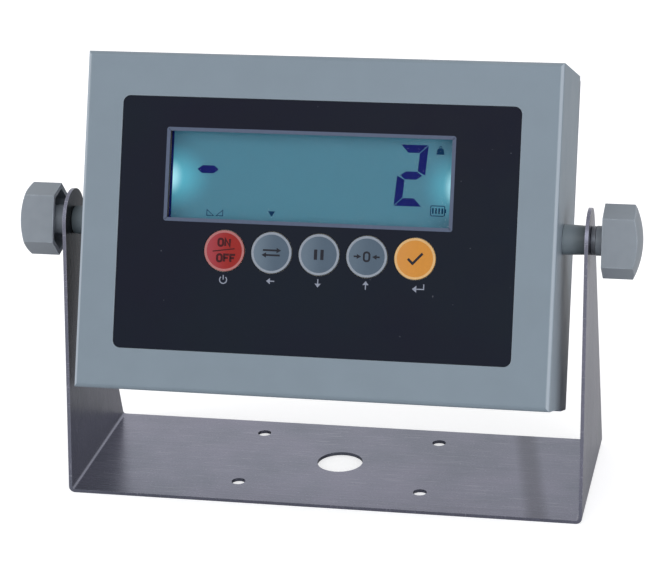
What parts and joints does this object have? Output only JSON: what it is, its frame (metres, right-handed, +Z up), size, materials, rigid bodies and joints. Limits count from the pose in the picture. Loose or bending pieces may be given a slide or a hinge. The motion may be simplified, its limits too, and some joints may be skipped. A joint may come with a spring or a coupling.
{
  "type": "weighing indicator",
  "caption": "Bench weighing indicator: shallow metal housing with a wide display over a row of round keys, tilting in a U bracket between two clamping knobs.",
  "frame": {"origin": "centre of the large hole at the underside of the bracket's base", "axes": "+X to the viewer's right along the tilt axis, the display faces -Y, +Z up"},
  "size_m": [0.2652, 0.1097, 0.1883],
  "materials": {
    "stainless_sheet": "brushed sheet",
    "housing_paint": "satin blue-grey",
    "boss_paint": "satin blue-grey",
    "gasket_rubber": "matt",
    "screw_steel": "zinc plated",
    "overlay_film": "satin film",
    "circuit_film": "polyester film",
    "tail_film": "polyimide film",
    "connector_plastic": "matt",
    "window_plastic": "clear sheet",
    "seal_foam": "matt foam",
    "lcd_glass": "lit display",
    "guide_plastic": "milky",
    "led_plastic": "clear yellow",
    "black_plastic": "matt",
    "board_laminate": "solder mask",
    "terminal_plastic": "matt",
    "capacitor_sleeve": "sleeve",
    "battery_case": "matt",
    "gland_plastic": "matt nylon",
    "key_red": "satin film",
    "key_grey": "satin film",
    "key_amber": "satin film",
    "knob_plastic": "satin grey"
  },
  "bodies": {
    "bracket": {"stand_bracket": "stainless_sheet"},
    "indicator": {"front_housing": "housing_paint", "rear_cover": "housing_paint", "cover_gasket": "gasket_rubber", "cover_screws": "screw_steel", "left_pivot_boss": "boss_paint", "right_pivot_boss": "boss_paint", "boss_nuts": "screw_steel", "panel_overlay": "overlay_film", "keypad_circuit": "circuit_film", "snap_domes": "screw_steel", "keypad_tail": "tail_film", "keypad_connector": "connector_plastic", "display_window": "window_plastic", "display_seal": "seal_foam", "lcd_panel": "lcd_glass", "backlight_guide": "guide_plastic", "backlight_leds": "led_plastic", "lcd_holder": "black_plastic", "main_board": "board_laminate", "board_standoffs": "screw_steel", "board_screws": "screw_steel", "control_chips": "black_plastic", "supply_capacitors": "capacitor_sleeve", "sounder": "black_plastic", "terminal_block": "terminal_plastic", "battery": "battery_case", "battery_strap": "screw_steel", "strap_nuts": "screw_steel", "cable_glands": "gland_plastic", "gland_nuts": "gland_plastic", "gland_seals": "gasket_rubber", "gland_caps": "gland_plastic"},
    "left_clamp": {"left_washer": "screw_steel"},
    "left_handle": {"left_knob": "knob_plastic", "left_stud": "screw_steel"},
    "right_clamp": {"right_washer": "screw_steel"},
    "right_handle": {"right_knob": "knob_plastic", "right_stud": "screw_steel"},
    "key_power_film": {"key_power": "key_red"},
    "key_unit_film": {"key_unit": "key_grey"},
    "key_hold_film": {"key_hold": "key_grey"},
    "key_zero_film": {"key_zero": "key_grey"},
    "key_set_film": {"key_set": "key_amber"}
  },
  "joints": [
    {"name": "housing_tilt", "type": "hinge", "parent": "bracket", "child": "indicator", "pos_m": [0, -0.011, 0.1145], "axis": [1, 0, 0], "continuous": true},
    {"name": "left_clamp_travel", "type": "slide", "parent": "indicator", "child": "left_clamp", "axis": [-1, 0, 0], "range_m": [0, 0.008]},
    {"name": "left_knob_turn", "type": "hinge", "parent": "left_clamp", "child": "left_handle", "pos_m": [0, -0.011, 0.1145], "axis": [-1, 0, 0], "range_deg": [0, 2880]},
    {"name": "right_clamp_travel", "type": "slide", "parent": "indicator", "child": "right_clamp", "axis": [1, 0, 0], "range_m": [0, 0.008]},
    {"name": "right_knob_turn", "type": "hinge", "parent": "right_clamp", "child": "right_handle", "pos_m": [0, -0.011, 0.1145], "axis": [1, 0, 0], "range_deg": [0, 2880]},
    {"name": "key_power_press", "type": "slide", "parent": "indicator", "child": "key_power_film", "axis": [0, 0.9272, -0.3746], "range_m": [0, 0.0003], "stiffness_N_per_m": 1000, "springref_m": -0.0003},
    {"name": "key_unit_press", "type": "slide", "parent": "indicator", "child": "key_unit_film", "axis": [0, 0.9272, -0.3746], "range_m": [0, 0.0003], "stiffness_N_per_m": 1000, "springref_m": -0.0003},
    {"name": "key_hold_press", "type": "slide", "parent": "indicator", "child": "key_hold_film", "axis": [0, 0.9272, -0.3746], "range_m": [0, 0.0003], "stiffness_N_per_m": 1000, "springref_m": -0.0003},
    {"name": "key_zero_press", "type": "slide", "parent": "indicator", "child": "key_zero_film", "axis": [0, 0.9272, -0.3746], "range_m": [0, 0.0003], "stiffness_N_per_m": 1000, "springref_m": -0.0003},
    {"name": "key_set_press", "type": "slide", "parent": "indicator", "child": "key_set_film", "axis": [0, 0.9272, -0.3746], "range_m": [0, 0.0003], "stiffness_N_per_m": 1000, "springref_m": -0.0003}
  ],
  "couplings": [
    {"joint": "left_knob_turn", "follows": "left_clamp_travel", "rad_per_m": 6283.2},
    {"joint": "right_knob_turn", "follows": "right_clamp_travel", "rad_per_m": 6283.2}
  ]
}
